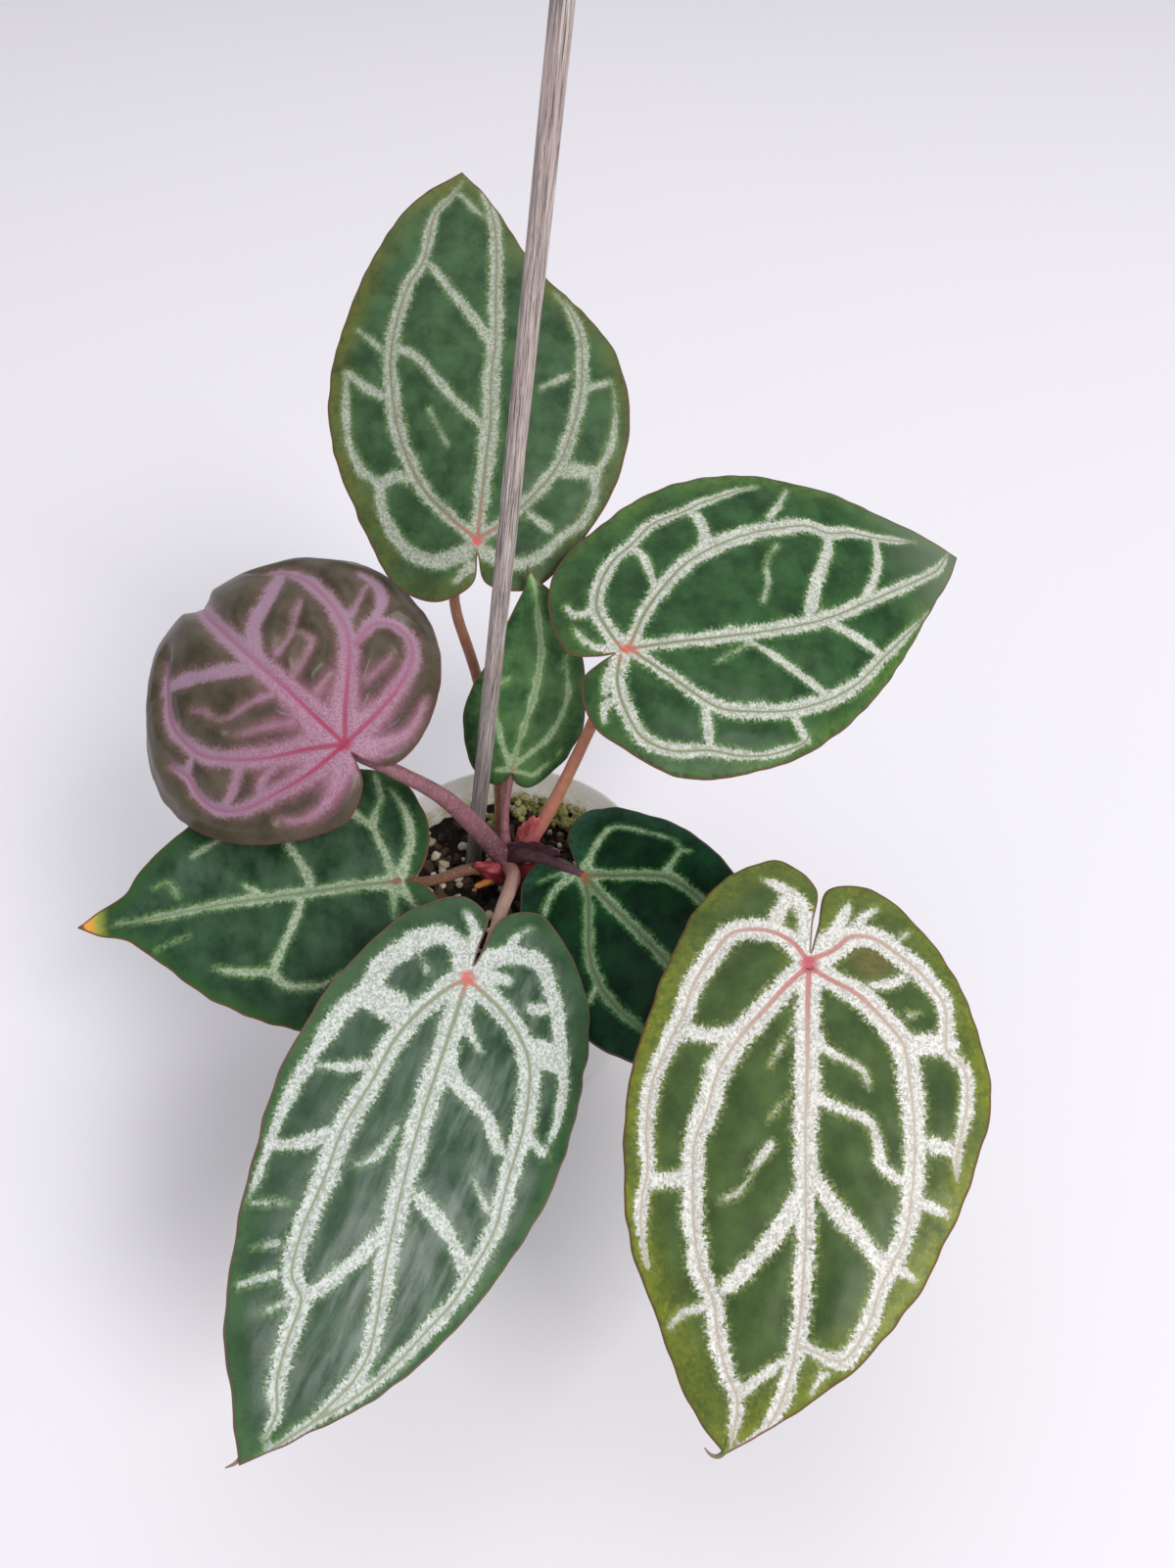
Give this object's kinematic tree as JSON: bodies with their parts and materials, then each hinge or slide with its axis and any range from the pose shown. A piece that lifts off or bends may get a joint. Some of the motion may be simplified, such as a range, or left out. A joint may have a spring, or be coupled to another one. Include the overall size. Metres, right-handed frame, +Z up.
{
  "type": "potted anthurium hybrid",
  "caption": "Potted aroid with heart-shaped, pale-veined leaves on long stalks round a short crown, a leaning wooden stake and a round clear plastic pot.",
  "frame": {"origin": "centre of the pot's flat underside", "axes": "+Z up along the pot; -Y towards the front of the plant, where the lowest leaves hang; +X to its right"},
  "size_m": [0.2722, 0.3276, 0.3483],
  "materials": {
    "pot_plastic": "milky translucent, lightly stained",
    "potting_mix": "loose bark chunks with pale pumice grains",
    "stake_wood": "weathered, fine lengthwise grain",
    "crown": "satin, papery sheaths",
    "air_root": "matt",
    "side_shoot": "satin",
    "blade_back": "velvety satin with grey-silver veins",
    "blade_right": "velvety satin with silver veins",
    "blade_inner": "satin with pale green veins",
    "blade_front_right": "satin with sparkling silver veins",
    "blade_front_left": "satin with sparkling silver veins",
    "blade_small": "velvety, dull grey-green veins",
    "blade_left": "velvety, pale green veins, dry tip",
    "blade_young": "glossy, puckered, pink-mauve veins",
    "stalk_brown": "satin",
    "stalk_mauve": "satin, faintly speckled",
    "stalk_dark": "satin"
  },
  "bodies": {
    "root": {"pot": "pot_plastic", "potting_mix": "potting_mix", "stake": "stake_wood", "crown": "crown", "air_root": "air_root", "side_shoot": "side_shoot", "leaf_blade_back": "blade_back", "leaf_blade_right": "blade_right", "leaf_blade_inner": "blade_inner", "leaf_blade_front_right": "blade_front_right", "leaf_blade_front_left": "blade_front_left", "leaf_blade_small": "blade_small", "leaf_blade_left": "blade_left", "leaf_blade_young": "blade_young", "leaf_stalk_back": "stalk_brown", "leaf_stalk_right": "stalk_brown", "leaf_stalk_inner": "stalk_mauve", "leaf_stalk_front_right": "stalk_brown", "leaf_stalk_front_left": "stalk_brown", "leaf_stalk_small": "stalk_dark", "leaf_stalk_left": "stalk_brown", "leaf_stalk_young": "stalk_mauve"}
  },
  "joints": []
}
